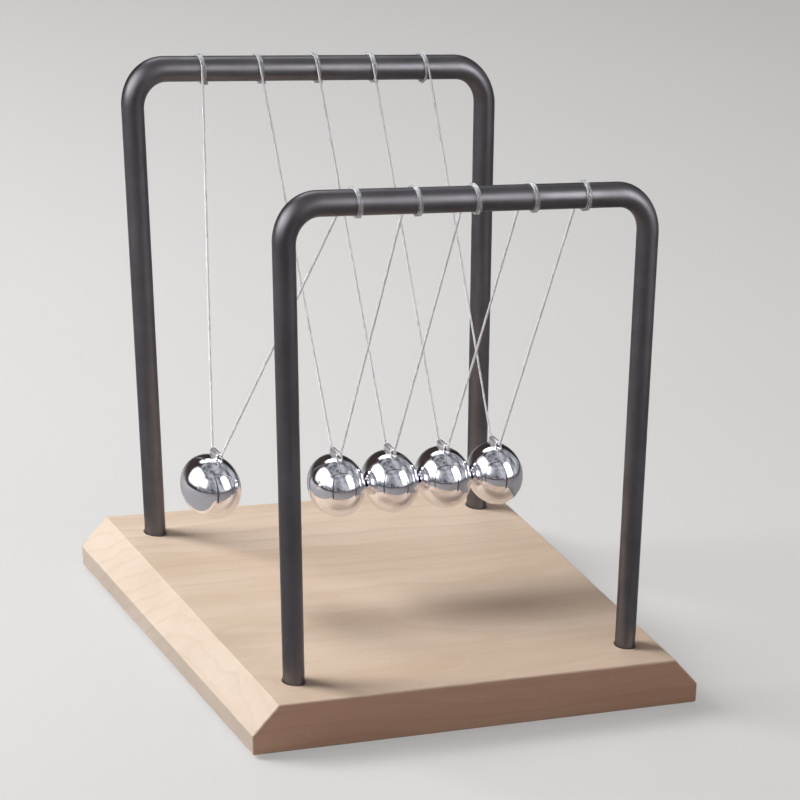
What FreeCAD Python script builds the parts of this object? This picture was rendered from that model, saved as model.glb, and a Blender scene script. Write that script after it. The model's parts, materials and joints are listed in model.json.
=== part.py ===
import FreeCAD, Part
import Sketcher
import math
import os

# Five-ball Newton's cradle on a bevelled wooden board.
# X runs along the row of balls, Y from the front frame to the rear frame,
# Z up.  The origin is the centre of the resting face, under the four pads.
# Ball 1 (the -X end of the row) is held drawn aside; balls 2 to 5 hang.

Vector = FreeCAD.Vector
os.makedirs("parts", exist_ok=True)
doc = FreeCAD.newDocument("newtons_cradle")

# ------------------------------------------------------------ driving sizes
# alias, value in mm (angles in degrees)
SIZES = [
    # board
    ("base_width", 140.0), ("base_depth", 125.0), ("base_thickness", 13.5),
    ("band_height", 5.5), ("bevel_inset", 8.0), ("edge_round", 0.6),
    ("hole_chamfer", 0.35),
    # pads under the board
    ("pad_thickness", 1.0), ("pad_diameter", 10.0), ("pad_x", 61.0),
    ("pad_y", 53.5), ("pad_round", 0.25),
    # the two bent-rod frames
    ("rod_diameter", 6.0), ("leg_x", 52.0), ("frame_y", 49.5),
    ("bar_height", 137.0), ("bend_radius", 9.5),
    ("socket_depth", 6.0), ("socket_diameter", 6.1), ("socket_floor_gap", 0.1),
    ("tap_diameter", 3.0), ("tap_depth", 8.5), ("leg_chamfer", 0.4),
    # leg screws; the ratios are parts of the head's diameter and height
    ("screw_diameter", 2.9), ("screw_length", 12.0), ("screw_clearance", 3.4),
    ("head_diameter", 5.6), ("head_height", 1.8), ("crown_ratio", 0.62),
    ("rim_ratio", 0.45), ("counterbore_diameter", 6.8),
    ("counterbore_depth", 2.6), ("recess_width", 0.7), ("recess_span", 3.0),
    ("recess_depth", 1.0), ("screw_tip", 0.5),
    # balls, eyelets and lines; strand_angle is measured from the vertical
    ("ball_diameter", 16.5), ("ball_gap", 0.06), ("draw_angle", 13.0),
    ("eyelet_diameter", 2.0), ("eyelet_bore", 1.2), ("eyelet_length", 4.6),
    ("eyelet_rise", 0.6), ("eyelet_gap", 0.01), ("eyelet_round", 0.12),
    ("line_diameter", 0.6), ("line_gap", 0.02), ("strand_angle", 27.5),
    ("line_bend", 0.8), ("mouth_gap", 0.06),
    # windings on the bars; wrap_lead is an angle
    ("wrap_pitch", 0.75), ("wrap_turns", 1.75), ("wrap_lead", 6.4),
    ("knot_diameter", 1.02), ("knot_seat", 0.2),
    ("knot_length", 1.0), ("knot_round", 0.2),
]

# alias, formula over the aliases above it
DERIVED = [
    ("top_face_width", "base_width - 2 * bevel_inset"),
    ("screw_hole_depth", "base_thickness - socket_depth"),
    ("screw_seat_height", "pad_thickness + counterbore_depth"),
    ("leg_foot", "pad_thickness + base_thickness - socket_depth + socket_floor_gap"),
    ("bar_rise", "bar_height - leg_foot"),
    ("crown_diameter", "head_diameter * crown_ratio"),
    ("rim_height", "head_height * rim_ratio"),
    # centre-line radius of a winding round the bar
    ("wind_radius", "rod_diameter / 2 + line_diameter / 2 + line_gap"),
    # the line leaves the bar here, on the bar's inner upper side
    ("hinge_y", "frame_y - wind_radius * cos(strand_angle * 1 deg)"),
    ("hinge_z", "bar_height + wind_radius * sin(strand_angle * 1 deg)"),
    # the line turns upward just outside the eyelet's mouth; corner_y is where
    # its two straight runs would meet without the bend
    ("turn_y", "eyelet_length / 2 + mouth_gap"),
    ("corner_y", "turn_y + line_bend * tan((90 - strand_angle) * 0.5 * 1 deg)"),
    # drops from the hinge line to the line inside the eyelet, the eyelet's
    # centre and the ball's centre
    ("line_drop", "(hinge_y - corner_y) / tan(strand_angle * 1 deg)"),
    ("eyelet_drop", "line_drop + eyelet_bore / 2 - line_diameter / 2 - line_gap"),
    ("ball_drop", "eyelet_drop + ball_diameter / 2 + eyelet_rise"),
    ("saddle_radius", "eyelet_diameter / 2 + eyelet_gap"),
    ("ball_pitch", "ball_diameter + ball_gap"),
    ("wrap_advance", "wrap_pitch * wrap_turns"),
    ("knot_drop", "wind_radius + knot_seat"),
]

sheet = doc.addObject("Spreadsheet::Sheet", "Sizes")
cells = [(alias, repr(value)) for alias, value in SIZES]
cells += [(alias, "=" + formula) for alias, formula in DERIVED]
for row, (alias, content) in enumerate(cells, start=1):
    sheet.set("A%d" % row, alias)
    sheet.set("B%d" % row, content)
    sheet.setAlias("B%d" % row, alias)
doc.recompute()


def size(alias):
    return float(sheet.get(alias))


def dim(alias, factor=1):
    """A multiple of a size, as its present value and its expression."""
    return factor * size(alias), "%r * Sizes.%s" % (factor, alias)


# name, side along X, side along Y
CORNERS = [("front_left", -1, -1), ("front_right", 1, -1),
           ("rear_left", -1, 1), ("rear_right", 1, 1)]
BALL_COUNT = 5
MIDDLE_BALL = 3

# ----------------------------------------------------------- sketch helpers
START, END, CENTRE = 1, 2, 3    # points of a sketch element
X_AXIS, Y_AXIS = -1, -2         # a sketch's own axes
ORIGIN = (-1, 1)                # a sketch's own origin


def origin_item(body, role):
    for item in body.Origin.OriginFeatures:
        if item.Role == role:
            return item
    raise RuntimeError("no origin feature " + role)


def new_sketch(body, name, plane="XY_Plane", lift=None):
    sketch = body.newObject("Sketcher::SketchObject", name)
    sketch.AttachmentSupport = [(origin_item(body, plane), "")]
    sketch.MapMode = "FlatFace"
    if lift is not None:
        sketch.setExpression("AttachmentOffset.Base.z", lift[1])
    return sketch


def relate(sketch, kind, *references):
    sketch.addConstraint(Sketcher.Constraint(kind, *references))


def bind(sketch, name, dimension, kind, *references):
    """Add a named constraint that follows a dimension."""
    value, expression = dimension
    index = sketch.addConstraint(Sketcher.Constraint(kind, *references, value))
    sketch.renameConstraint(index, name)
    sketch.setExpression("Constraints." + name, expression)


def add_line(sketch, start, end):
    return sketch.addGeometry(
        Part.LineSegment(Vector(*start, 0), Vector(*end, 0)), False)


def add_arc(sketch, centre, radius, first_angle, last_angle):
    full = Part.Circle(Vector(*centre, 0), Vector(0, 0, 1), radius)
    return sketch.addGeometry(
        Part.ArcOfCircle(full, first_angle, last_angle), False)


def polygon(sketch, corners):
    count = len(corners)
    sides = [add_line(sketch, corners[i], corners[(i + 1) % count])
             for i in range(count)]
    for i in range(count):
        relate(sketch, "Coincident", sides[i], END, sides[(i + 1) % count], START)
    return sides


def rectangle(sketch, tag, width, depth):
    """A rectangle centred on the sketch's origin."""
    x, y = width[0] / 2, depth[0] / 2
    sides = polygon(sketch, [(-x, -y), (x, -y), (x, y), (-x, y)])
    for kind, side in (("Horizontal", 0), ("Horizontal", 2),
                       ("Vertical", 1), ("Vertical", 3)):
        relate(sketch, kind, sides[side])
    relate(sketch, "Symmetric", sides[0], START, sides[2], START, *ORIGIN)
    bind(sketch, tag + "_w", width, "DistanceX", sides[0], START, sides[0], END)
    bind(sketch, tag + "_d", depth, "DistanceY", sides[1], START, sides[1], END)


def fix_centre(sketch, tag, round_item, x, y):
    """Hold a centre at bound distances; None holds it on that axis's zero."""
    if x is None and y is None:
        relate(sketch, "Coincident", round_item, CENTRE, *ORIGIN)
        return
    for suffix, dimension, kind, zero_axis in (
            ("_x", x, "DistanceX", Y_AXIS), ("_y", y, "DistanceY", X_AXIS)):
        if dimension is None:
            relate(sketch, "PointOnObject", round_item, CENTRE, zero_axis)
        else:
            bind(sketch, tag + suffix, dimension, kind,
                 *ORIGIN, round_item, CENTRE)


def value_or_zero(dimension):
    return 0.0 if dimension is None else dimension[0]


def circle(sketch, tag, radius, x=None, y=None):
    centre = Vector(value_or_zero(x), value_or_zero(y), 0)
    ring = sketch.addGeometry(
        Part.Circle(centre, Vector(0, 0, 1), radius[0]), False)
    fix_centre(sketch, tag, ring, x, y)
    bind(sketch, tag + "_r", radius, "Radius", ring)


def half_disc(sketch, tag, radius, x=None, y=None):
    """A half disc, its flat side vertical, for revolving into a ball."""
    centre_x, centre_y = value_or_zero(x), value_or_zero(y)
    arc = add_arc(sketch, (centre_x, centre_y), radius[0],
                  -math.pi / 2, math.pi / 2)
    flat = add_line(sketch, (centre_x, centre_y + radius[0]),
                    (centre_x, centre_y - radius[0]))
    relate(sketch, "Coincident", arc, END, flat, START)
    relate(sketch, "Coincident", arc, START, flat, END)
    relate(sketch, "PointOnObject", arc, CENTRE, flat)
    relate(sketch, "Vertical", flat)
    fix_centre(sketch, tag, arc, x, y)
    bind(sketch, tag + "_r", radius, "Radius", arc)


def corner_circles(sketch, radius):
    for tag, side_x, side_y in CORNERS:
        circle(sketch, tag, radius, dim("leg_x", side_x), dim("frame_y", side_y))


# ---------------------------------------------------- body and feature helpers
bodies = []


def new_body(node):
    body = doc.addObject("PartDesign::Body", node)
    body.Label = node
    bodies.append(body)
    return body


def place(body, x=None, y=None, z=None, rotation=FreeCAD.Rotation()):
    body.Placement = FreeCAD.Placement(
        Vector(value_or_zero(x), value_or_zero(y), value_or_zero(z)), rotation)
    for axis, dimension in (("x", x), ("y", y), ("z", z)):
        if dimension is not None:
            body.setExpression("Placement.Base." + axis, dimension[1])


def extrude(body, kind, name, profile, length, both_sides=False, backward=False):
    """A Pad or Pocket from a sketch."""
    doc.recompute()
    feature = body.newObject("PartDesign::" + kind, name)
    feature.Profile = profile
    if both_sides:
        # the property for this depends on the FreeCAD version
        if "SideType" in feature.PropertiesList:
            feature.SideType = "Symmetric"
        else:
            feature.Midplane = True
    feature.setExpression("Length", length[1])
    if backward:
        feature.Reversed = True
    doc.recompute()
    return feature


def revolve(body, name, profile, axis):
    feature = body.newObject("PartDesign::Revolution", name)
    feature.Profile = profile
    feature.ReferenceAxis = (profile, [axis])
    feature.Angle = 360.0
    doc.recompute()
    return feature


def sweep(body, name, profile, path):
    doc.recompute()
    feature = body.newObject("PartDesign::AdditivePipe", name)
    feature.Profile = profile
    feature.Spine = (path, [])
    doc.recompute()
    return feature


def fillet(body, name, base, edges, radius):
    feature = body.newObject("PartDesign::Fillet", name)
    feature.Base = (base, edges)
    feature.setExpression("Radius", radius[1])
    doc.recompute()
    return feature


def chamfer(body, name, base, edges, width):
    feature = body.newObject("PartDesign::Chamfer", name)
    feature.Base = (base, edges)
    feature.setExpression("Size", width[1])
    doc.recompute()
    return feature


def pick_edges(feature, wanted):
    return ["Edge%d" % number
            for number, edge in enumerate(feature.Shape.Edges, start=1)
            if wanted(edge)]


def bottom_edges(feature):
    return pick_edges(feature, lambda edge: edge.BoundBox.ZMax < 0.01)


def rims_across_y(feature, count):
    """The edges that lie in a plane square to Y."""
    rims = pick_edges(feature, lambda edge: edge.BoundBox.YLength < 1e-4)
    assert len(rims) == count, "rims of " + feature.Name
    return rims


def removed(base, cut):
    return base.Shape.Volume - cut.Shape.Volume


def disc_area(diameter_alias):
    return math.pi * (size(diameter_alias) / 2) ** 2


# -------------------------------------------------------------------- board
def make_board():
    board = new_body("base_board")
    outline = new_sketch(board, "board_outline")
    rectangle(outline, "outline", dim("base_width"), dim("base_depth"))
    extrude(board, "Pad", "board_band", outline, dim("band_height"))

    # the bevels rise from the band's top edge to the narrower top face on the
    # left and right ends; the front and rear faces stay upright
    bevel_foot = new_sketch(board, "bevel_foot", lift=dim("band_height"))
    rectangle(bevel_foot, "foot", dim("base_width"), dim("base_depth"))
    bevel_top = new_sketch(board, "bevel_top", lift=dim("base_thickness"))
    rectangle(bevel_top, "top", dim("top_face_width"), dim("base_depth"))
    doc.recompute()
    bevel = board.newObject("PartDesign::AdditiveLoft", "board_bevel")
    bevel.Profile = bevel_foot
    bevel.Sections = [bevel_top]
    bevel.Ruled = True
    doc.recompute()

    # all edges are eased, the bottom outline less than the others
    upper_edges = pick_edges(bevel, lambda edge: edge.BoundBox.ZMax > 0.01)
    eased = fillet(board, "board_edges", bevel, upper_edges, dim("edge_round"))
    eased_bottom = chamfer(board, "board_bottom_edge", eased,
                           bottom_edges(eased), dim("edge_round", 0.5))

    mouths = cut_leg_sockets(board, eased_bottom)
    board.Tip = cut_screw_holes(board, mouths)
    place(board, z=dim("pad_thickness"))


def cut_leg_sockets(board, base):
    """Leg sockets drilled from the top face, with chamfered mouths."""
    circles = new_sketch(board, "socket_circles", lift=dim("base_thickness"))
    corner_circles(circles, dim("socket_diameter", 0.5))
    sockets = extrude(board, "Pocket", "leg_sockets", circles,
                      dim("socket_depth"))
    expected = 4 * disc_area("socket_diameter") * size("socket_depth")
    assert abs(removed(base, sockets) - expected) < 1.0, "sockets"

    top = size("base_thickness")
    rim_length = math.pi * size("socket_diameter")
    mouths = pick_edges(sockets, lambda edge: (
        abs(edge.BoundBox.ZMin - top) < 1e-3
        and abs(edge.BoundBox.ZMax - top) < 1e-3
        and edge.isClosed() and abs(edge.Length - rim_length) < 1e-3))
    assert len(mouths) == 4, "socket mouths"
    return chamfer(board, "socket_mouths", sockets, mouths, dim("hole_chamfer"))


def cut_screw_holes(board, base):
    """Screw holes from the underside, counterbored for the heads."""
    circles = new_sketch(board, "screw_hole_circles")
    corner_circles(circles, dim("screw_clearance", 0.5))
    doc.recompute()
    holes = board.newObject("PartDesign::Hole", "screw_holes")
    holes.Profile = circles
    doc.recompute()
    holes.Threaded = False
    holes.ThreadType = "None"
    holes.setExpression("Diameter", "Sizes.screw_clearance")
    holes.DepthType = "Dimension"
    holes.setExpression("Depth", "Sizes.screw_hole_depth")
    holes.DrillPoint = "Flat"
    holes.HoleCutType = "Counterbore"
    holes.HoleCutCustomValues = True
    holes.setExpression("HoleCutDiameter", "Sizes.counterbore_diameter")
    holes.setExpression("HoleCutDepth", "Sizes.counterbore_depth")
    holes.Reversed = True
    doc.recompute()

    web = size("screw_hole_depth") - size("counterbore_depth")
    expected = 4 * (disc_area("screw_clearance") * web
                    + disc_area("counterbore_diameter")
                    * size("counterbore_depth"))
    # guards against the hole being drilled away from the board
    if abs(removed(base, holes) - expected) > 1.0:
        holes.Reversed = False
        doc.recompute()
    assert abs(removed(base, holes) - expected) < 1.0, "screw holes"
    return holes


# --------------------------------------------------------- pads and screws
def make_foot_pad(tag, side_x, side_y):
    body = new_body("foot_pad_" + tag)
    disc = new_sketch(body, "pad_disc_" + tag)
    circle(disc, "disc", dim("pad_diameter", 0.5))
    pad = extrude(body, "Pad", "pad_" + tag, disc, dim("pad_thickness"))
    body.Tip = fillet(body, "pad_edge_" + tag, pad, bottom_edges(pad),
                      dim("pad_round"))
    place(body, x=dim("pad_x", side_x), y=dim("pad_y", side_y))


def draw_screw_profile(sketch):
    """Half section: pan head below, shank up, blunt tip."""
    head_radius = size("head_diameter") / 2
    shank_radius = size("screw_diameter") / 2
    crown_radius = size("crown_diameter") / 2
    head_height, rim_height = size("head_height"), size("rim_height")
    length, tip = size("screw_length"), size("screw_tip")
    sides = polygon(sketch, [
        (0, -head_height), (crown_radius, -head_height),
        (head_radius, -rim_height), (head_radius, 0),
        (shank_radius, 0), (shank_radius, length - tip),
        (shank_radius - tip, length), (0, length)])
    crown, _, rim, seat, shank, point, end, axis = sides
    for side in (crown, seat, end):
        relate(sketch, "Horizontal", side)
    for side in (rim, shank, axis):
        relate(sketch, "Vertical", side)
    relate(sketch, "PointOnObject", axis, START, Y_AXIS)
    relate(sketch, "PointOnObject", seat, START, X_AXIS)
    bind(sketch, "head_h", dim("head_height"), "DistanceY", crown, START, *ORIGIN)
    bind(sketch, "head_r", dim("head_diameter", 0.5), "DistanceX",
         *ORIGIN, rim, END)
    bind(sketch, "shank_r", dim("screw_diameter", 0.5), "DistanceX",
         *ORIGIN, shank, START)
    bind(sketch, "shank_l", dim("screw_length"), "DistanceY", *ORIGIN, end, START)
    bind(sketch, "tip_x", dim("screw_tip"), "DistanceX", point, END, point, START)
    bind(sketch, "tip_y", dim("screw_tip"), "DistanceY", point, START, point, END)
    bind(sketch, "crown_r", dim("crown_diameter", 0.5), "DistanceX",
         *ORIGIN, crown, END)
    bind(sketch, "rim_h", dim("rim_height"), "DistanceY", rim, START, *ORIGIN)


def draw_cross(sketch):
    """Outline of a cross centred on the sketch's origin."""
    near, far = size("recess_width") / 2, size("recess_span") / 2
    sides = polygon(sketch, [
        (-near, -far), (near, -far), (near, -near), (far, -near),
        (far, near), (near, near), (near, far), (-near, far),
        (-near, near), (-far, near), (-far, -near), (-near, -near)])
    for i, side in enumerate(sides):
        relate(sketch, "Horizontal" if i % 2 == 0 else "Vertical", side)
    bottom, right, top, left = sides[0], sides[3], sides[6], sides[9]
    relate(sketch, "Symmetric", bottom, START, top, START, *ORIGIN)
    relate(sketch, "Symmetric", right, START, left, START, *ORIGIN)
    width, span = dim("recess_width"), dim("recess_span")
    bind(sketch, "slot_w", width, "DistanceX", bottom, START, bottom, END)
    bind(sketch, "slot_v", width, "DistanceY", right, START, right, END)
    bind(sketch, "slot_l", span, "DistanceY", bottom, START, top, START)
    bind(sketch, "slot_k", span, "DistanceX", left, START, right, START)


def make_leg_screw(tag, side_x, side_y):
    """Screw with its head downward and a cross recess in the head."""
    screw = new_body("leg_screw_" + tag)
    profile = new_sketch(screw, "screw_profile_" + tag, "XZ_Plane")
    draw_screw_profile(profile)
    turned = revolve(screw, "screw_turned_" + tag, profile, "V_Axis")
    cross = new_sketch(screw, "cross_" + tag, lift=dim("head_height", -1))
    draw_cross(cross)
    recess = extrude(screw, "Pocket", "cross_recess_" + tag, cross,
                     dim("recess_depth"), backward=True)
    assert removed(turned, recess) > 1.0, "cross recess"
    screw.Tip = recess
    place(screw, x=dim("leg_x", side_x), y=dim("frame_y", side_y),
          z=dim("screw_seat_height"))


# ------------------------------------------------------------ bent-rod frames
def draw_frame_path(sketch):
    """Centre line: up the left leg, along the bar, down the right leg."""
    leg, bend, rise = size("leg_x"), size("bend_radius"), size("bar_rise")
    quarter = math.pi / 2
    left_leg = add_line(sketch, (-leg, 0), (-leg, rise - bend))
    left_bend = add_arc(sketch, (-leg + bend, rise - bend), bend,
                        quarter, 2 * quarter)
    bar = add_line(sketch, (-leg + bend, rise), (leg - bend, rise))
    right_bend = add_arc(sketch, (leg - bend, rise - bend), bend, 0, quarter)
    right_leg = add_line(sketch, (leg, rise - bend), (leg, 0))
    relate(sketch, "Tangent", left_leg, END, left_bend, END)
    relate(sketch, "Tangent", left_bend, START, bar, START)
    relate(sketch, "Tangent", bar, END, right_bend, END)
    relate(sketch, "Tangent", right_bend, START, right_leg, START)
    relate(sketch, "Vertical", left_leg)
    relate(sketch, "Horizontal", bar)
    relate(sketch, "Vertical", right_leg)
    relate(sketch, "PointOnObject", left_leg, START, X_AXIS)
    relate(sketch, "PointOnObject", right_leg, END, X_AXIS)
    relate(sketch, "Equal", left_bend, right_bend)
    bind(sketch, "left_leg", dim("leg_x"), "DistanceX", left_leg, START, *ORIGIN)
    bind(sketch, "right_leg", dim("leg_x"), "DistanceX", *ORIGIN, right_leg, END)
    bind(sketch, "bar_rise", dim("bar_rise"), "DistanceY", *ORIGIN, bar, START)
    bind(sketch, "bend", dim("bend_radius"), "Radius", left_bend)


def make_frame(node, side_y):
    frame = new_body(node)
    path = new_sketch(frame, node + "_path", "XZ_Plane")
    draw_frame_path(path)
    section = new_sketch(frame, node + "_rod")
    circle(section, "rod", dim("rod_diameter", 0.5), x=dim("leg_x", -1))
    rod = sweep(frame, node + "_bent_rod", section, path)

    leg_ends = bottom_edges(rod)
    assert len(leg_ends) == 2, "leg ends"
    faced = chamfer(frame, node + "_leg_ends", rod, leg_ends, dim("leg_chamfer"))

    # screw holes up the legs
    taps = new_sketch(frame, node + "_taps")
    for tag, side_x in (("left", -1), ("right", 1)):
        circle(taps, tag, dim("tap_diameter", 0.5), x=dim("leg_x", side_x))
    tapped = extrude(frame, "Pocket", node + "_tapped_ends", taps,
                     dim("tap_depth"), backward=True)
    expected = 2 * disc_area("tap_diameter") * size("tap_depth")
    assert abs(removed(faced, tapped) - expected) < 0.5, "tapped ends"
    frame.Tip = tapped
    place(frame, y=dim("frame_y", side_y), z=dim("leg_foot"))


# ---------------------------------------------------- balls, eyelets, lines
# Each swinging set is drawn hanging straight down from its hinge line, with
# the body origin on that line midway between the bars.  Its Placement then
# carries it to its place in the row and turns it by the draw angle.


def row_place(number):
    return dim("ball_pitch", number - MIDDLE_BALL)


def hang(body, number):
    drawn_aside = number == 1
    swing = size("draw_angle") if drawn_aside else 0.0
    place(body, x=row_place(number), z=dim("hinge_z"),
          rotation=FreeCAD.Rotation(Vector(0, 1, 0), swing))
    if drawn_aside:
        body.setExpression("Placement.Rotation.Angle", "Sizes.draw_angle * 1 deg")


def make_ball(number):
    """Ball with a shallow saddle for its eyelet."""
    node = "ball_%d" % number
    ball = new_body(node)
    half = new_sketch(ball, node + "_half", "XZ_Plane")
    half_disc(half, "ball", dim("ball_diameter", 0.5), y=dim("ball_drop", -1))
    sphere = revolve(ball, node + "_turned", half, "V_Axis")
    seat = new_sketch(ball, node + "_saddle", "XZ_Plane")
    circle(seat, "seat", dim("saddle_radius"), y=dim("eyelet_drop", -1))
    saddle = extrude(ball, "Pocket", node + "_saddle_cut", seat,
                     dim("ball_diameter"), both_sides=True)
    assert 0.5 < removed(sphere, saddle) < 8.0, "saddle"
    ball.Tip = saddle
    hang(ball, number)


def make_eyelet(number):
    """Short tube lying front to back on top of the ball."""
    node = "ball_%d_eyelet" % number
    eyelet = new_body(node)
    ring = new_sketch(eyelet, node + "_ring", "XZ_Plane")
    for tag, alias in (("outer", "eyelet_diameter"), ("inner", "eyelet_bore")):
        circle(ring, tag, dim(alias, 0.5), y=dim("eyelet_drop", -1))
    tube = extrude(eyelet, "Pad", node + "_tube", ring, dim("eyelet_length"),
                   both_sides=True)
    eyelet.Tip = fillet(eyelet, node + "_rims", tube, rims_across_y(tube, 4),
                        dim("eyelet_round"))
    hang(eyelet, number)


def draw_line_run(sketch):
    """Rear half of a line: out of the eyelet, then up to the hinge line.

    Sketch x is Y, sketch y is Z.
    """
    angle = math.radians(size("strand_angle"))
    bend, drop, turn_y = size("line_bend"), size("line_drop"), size("turn_y")
    bend_end = (turn_y + bend * math.cos(angle),
                -drop + bend - bend * math.sin(angle))
    level = add_line(sketch, (0, -drop), (turn_y, -drop))
    turn = add_arc(sketch, (turn_y, -drop + bend), bend, -math.pi / 2, -angle)
    rising = add_line(sketch, bend_end, (size("hinge_y"), 0))
    relate(sketch, "Tangent", level, END, turn, START)
    relate(sketch, "Tangent", turn, END, rising, START)
    relate(sketch, "Horizontal", level)
    relate(sketch, "PointOnObject", level, START, Y_AXIS)
    relate(sketch, "PointOnObject", rising, END, X_AXIS)
    bind(sketch, "drop", dim("line_drop"), "DistanceY", level, START, *ORIGIN)
    bind(sketch, "turn", dim("turn_y"), "DistanceX", level, START, level, END)
    bind(sketch, "bend", dim("line_bend"), "Radius", turn)
    bind(sketch, "hinge", dim("hinge_y"), "DistanceX", *ORIGIN, rising, END)


def make_line(number):
    """One strand from each bar, running through the eyelet."""
    node = "ball_%d_line" % number
    line = new_body(node)
    run = new_sketch(line, node + "_run", "YZ_Plane")
    draw_line_run(run)
    section = new_sketch(line, node + "_round", "XZ_Plane")
    circle(section, "line", dim("line_diameter", 0.5), y=dim("line_drop", -1))
    strand = sweep(line, node + "_strand", section, run)

    # the strand ends on its hinge line in a round nose
    half = new_sketch(line, node + "_nose", "YZ_Plane")
    half_disc(half, "nose", dim("line_diameter", 0.5), x=dim("hinge_y"))
    doc.recompute()
    nose = revolve(line, node + "_nose_turned", half, "Edge2")

    pair = line.newObject("PartDesign::Mirrored", node + "_pair")
    pair.Originals = [strand, nose]
    pair.MirrorPlane = (origin_item(line, "XZ_Plane"), [""])
    line.Tip = pair
    doc.recompute()
    assert pair.Shape.Volume > 1.99 * nose.Shape.Volume - 0.2, "second strand"
    hang(line, number)


# ------------------------------------------------------ windings on the bars
# Drawn round the body's own X axis: the line starts on +Y, passes over +Z and
# -Y, goes round once more and ends under the bar in a knot.  The Placement
# turns the start to just above the place where the strand leaves the bar.
# The turns are laid to the side that the strand doesn't swing to: towards +X
# on balls 1 to 4, towards -X on ball 5.


def coil_runs_as_wanted(shape, way):
    # after three quarters of a turn towards the wanted side, the line must
    # lie under the axis
    x, radius = way * 0.75 * size("wrap_pitch"), size("wind_radius")
    return (len(shape.Solids) == 1
            and shape.isInside(Vector(x, 0, -radius), 1e-4, False)
            and not shape.isInside(Vector(x, 0, radius), 1e-4, False))


def orient_coil(coil, way):
    """Find the hand and direction that lay the turns as wanted."""
    for left_handed in (False, True):
        for backward in (False, True):
            coil.LeftHanded = left_handed
            coil.Reversed = backward
            doc.recompute()
            if ("Up-to-date" in coil.State
                    and coil_runs_as_wanted(coil.Shape, way)):
                return
    raise RuntimeError("coil direction of " + coil.Name)


def make_wrap(side, side_y, number):
    node = "%s_wrap_%d" % (side, number)
    # side of the body's own X that the turns advance to; the rear windings
    # are turned half round, so theirs is reversed
    way = (-1 if number == BALL_COUNT else 1) * -side_y
    wrap = new_body(node)

    # the knot is a short round-edged barrel along the line's own run
    lump = new_sketch(wrap, node + "_lump", "XZ_Plane")
    circle(lump, "knot", dim("knot_diameter", 0.5),
           x=dim("wrap_advance", way), y=dim("knot_drop", -1))
    barrel = extrude(wrap, "Pad", node + "_barrel", lump, dim("knot_length"),
                     both_sides=True)
    fillet(wrap, node + "_knot", barrel, rims_across_y(barrel, 2),
           dim("knot_round"))

    dot = new_sketch(wrap, node + "_dot")
    circle(dot, "dot", dim("line_diameter", 0.5), y=dim("wind_radius"))
    doc.recompute()
    coil = wrap.newObject("PartDesign::AdditiveHelix", node + "_coil")
    coil.Profile = dot
    coil.ReferenceAxis = (dot, ["H_Axis"])
    coil.Mode = 1    # given by pitch and turns
    coil.setExpression("Pitch", "Sizes.wrap_pitch")
    coil.setExpression("Turns", "Sizes.wrap_turns")
    orient_coil(coil, way)
    wrap.Tip = coil
    doc.recompute()

    rotation = FreeCAD.Rotation(Vector(1, 0, 0),
                                size("strand_angle") + size("wrap_lead"))
    if side_y > 0:
        half_turn = FreeCAD.Rotation(Vector(0, 0, 1), 180)
        rotation = half_turn.multiply(rotation)
    place(wrap, x=row_place(number), y=dim("frame_y", side_y),
          z=dim("bar_height"), rotation=rotation)


# -------------------------------------------------------------- the product
make_board()
for corner in CORNERS:
    make_foot_pad(*corner)
for corner in CORNERS:
    make_leg_screw(*corner)
make_frame("front_frame", -1)
make_frame("rear_frame", 1)
for number in range(1, BALL_COUNT + 1):
    make_ball(number)
    make_eyelet(number)
    make_line(number)
for side, side_y in (("front", -1), ("rear", 1)):
    for number in range(1, BALL_COUNT + 1):
        make_wrap(side, side_y, number)
doc.recompute()

# --------------------------------------------------------- checks and export
problems = []
for item in doc.Objects:
    if any(word in ("Invalid", "Error") for word in item.State):
        problems.append("%s is %s" % (item.Name, item.State))
for body in bodies:
    shape = body.Shape
    if shape.isNull() or not shape.isValid() or len(shape.Solids) != 1:
        problems.append("%s has a bad shape" % body.Label)
if problems:
    raise RuntimeError("; ".join(problems))

for body in bodies:
    path = "parts/%s.step" % body.Label
    body.Shape.exportStep(path)
    # what was written must hold the same solid as the document
    written = Part.read(path)
    if abs(written.Volume - body.Shape.Volume) > 1e-3 * body.Shape.Volume:
        raise RuntimeError("%s lost volume when written: %.4f, was %.4f"
                           % (path, written.Volume, body.Shape.Volume))
print("wrote %d parts" % len(bodies))
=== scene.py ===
"""Looks for the newton's cradle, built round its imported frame.  Metres, row frame."""

import json
import math

import bpy
from mathutils import Matrix, Vector


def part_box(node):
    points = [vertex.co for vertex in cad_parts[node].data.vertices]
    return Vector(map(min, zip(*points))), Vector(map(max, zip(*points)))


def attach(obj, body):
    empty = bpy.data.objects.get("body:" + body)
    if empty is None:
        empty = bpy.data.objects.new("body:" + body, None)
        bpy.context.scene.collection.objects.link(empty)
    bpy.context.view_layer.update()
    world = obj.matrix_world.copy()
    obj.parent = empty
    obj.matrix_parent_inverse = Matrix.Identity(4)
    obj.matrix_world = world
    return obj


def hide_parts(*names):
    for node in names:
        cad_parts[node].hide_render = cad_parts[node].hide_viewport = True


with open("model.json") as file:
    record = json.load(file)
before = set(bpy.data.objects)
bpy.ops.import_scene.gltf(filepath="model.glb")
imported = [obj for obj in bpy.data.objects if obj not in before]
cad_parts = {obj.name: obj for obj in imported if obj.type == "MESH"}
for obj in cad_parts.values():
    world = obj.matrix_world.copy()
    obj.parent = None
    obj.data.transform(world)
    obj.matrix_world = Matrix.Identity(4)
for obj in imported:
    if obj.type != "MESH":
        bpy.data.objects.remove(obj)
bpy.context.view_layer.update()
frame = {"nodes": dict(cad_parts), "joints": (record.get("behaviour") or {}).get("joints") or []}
MM = 0.001
NODES = frame["nodes"]


# ------------------------------------------------------------------- places
def middle(node):
    lo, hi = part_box(node)
    return (lo + hi) / 2


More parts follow.
